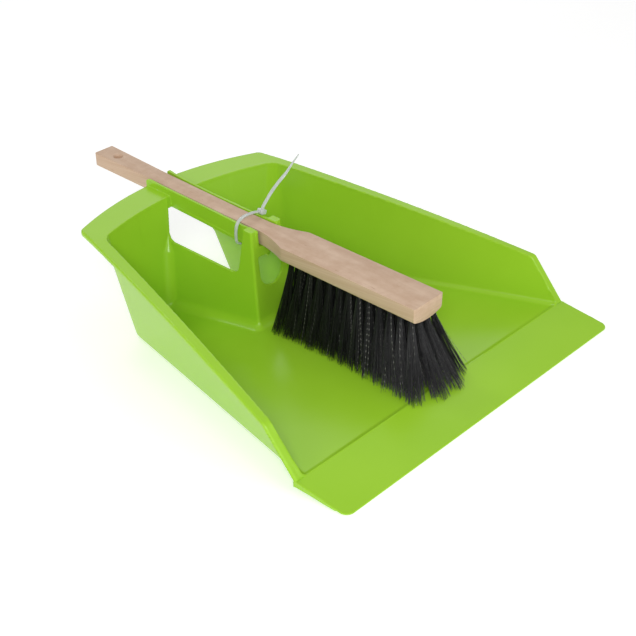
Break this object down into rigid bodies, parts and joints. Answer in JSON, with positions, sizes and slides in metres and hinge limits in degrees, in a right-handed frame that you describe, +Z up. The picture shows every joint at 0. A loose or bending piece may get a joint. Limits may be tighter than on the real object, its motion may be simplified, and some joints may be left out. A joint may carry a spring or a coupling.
{
  "type": "dust pan and brush set",
  "caption": "Wide moulded dust pan with a ribbed grip channel, a wooden counter brush with dark bristles lying along it, and the cable tie that holds them together.",
  "frame": {"origin": "middle of the bottom of the box round the whole set, on the surface it stands on", "axes": "+X to the right seen from the lip, +Y from the lip to the back of the pan and the brush's tail, +Z up"},
  "size_m": [0.3736, 0.5222, 0.1564],
  "materials": {
    "pan": "smooth moulded, slightly glossy",
    "wood": "plain sanded",
    "bristle": "dark fibre with a few grey ones",
    "nylon": "translucent natural nylon"
  },
  "bodies": {
    "pan": {"pan_tray": "pan"},
    "brush": {"brush_back": "wood", "tuft_r1_c01": "bristle", "tuft_r1_c02": "bristle", "tuft_r1_c03": "bristle", "tuft_r1_c04": "bristle", "tuft_r1_c05": "bristle", "tuft_r1_c06": "bristle", "tuft_r1_c07": "bristle", "tuft_r1_c08": "bristle", "tuft_r1_c09": "bristle", "tuft_r1_c10": "bristle", "tuft_r1_c11": "bristle", "tuft_r1_c12": "bristle", "tuft_r1_c13": "bristle", "tuft_r2_c01": "bristle", "tuft_r2_c02": "bristle", "tuft_r2_c03": "bristle", "tuft_r2_c04": "bristle", "tuft_r2_c05": "bristle", "tuft_r2_c06": "bristle", "tuft_r2_c07": "bristle", "tuft_r2_c08": "bristle", "tuft_r2_c09": "bristle", "tuft_r2_c10": "bristle", "tuft_r2_c11": "bristle", "tuft_r2_c12": "bristle", "tuft_r2_c13": "bristle", "tuft_r3_c01": "bristle", "tuft_r3_c02": "bristle", "tuft_r3_c03": "bristle", "tuft_r3_c04": "bristle", "tuft_r3_c05": "bristle", "tuft_r3_c06": "bristle", "tuft_r3_c07": "bristle", "tuft_r3_c08": "bristle", "tuft_r3_c09": "bristle", "tuft_r3_c10": "bristle", "tuft_r3_c11": "bristle", "tuft_r3_c12": "bristle", "tuft_r3_c13": "bristle", "tuft_r4_c01": "bristle", "tuft_r4_c02": "bristle", "tuft_r4_c03": "bristle", "tuft_r4_c04": "bristle", "tuft_r4_c05": "bristle", "tuft_r4_c06": "bristle", "tuft_r4_c07": "bristle", "tuft_r4_c08": "bristle", "tuft_r4_c09": "bristle", "tuft_r4_c10": "bristle", "tuft_r4_c11": "bristle", "tuft_r4_c12": "bristle", "tuft_r4_c13": "bristle"},
    "tie": {"cable_tie": "nylon"}
  },
  "joints": [
    {"name": "brush_lift", "type": "slide", "parent": "pan", "child": "brush", "axis": [0, -0.1189, 0.9929], "range_m": [0, 0.15], "deforming": ["cable_tie"]},
    {"name": "tie_slide", "type": "slide", "parent": "pan", "child": "tie", "axis": [0, 0.9929, 0.1189], "range_m": [0, 0.07]}
  ]
}
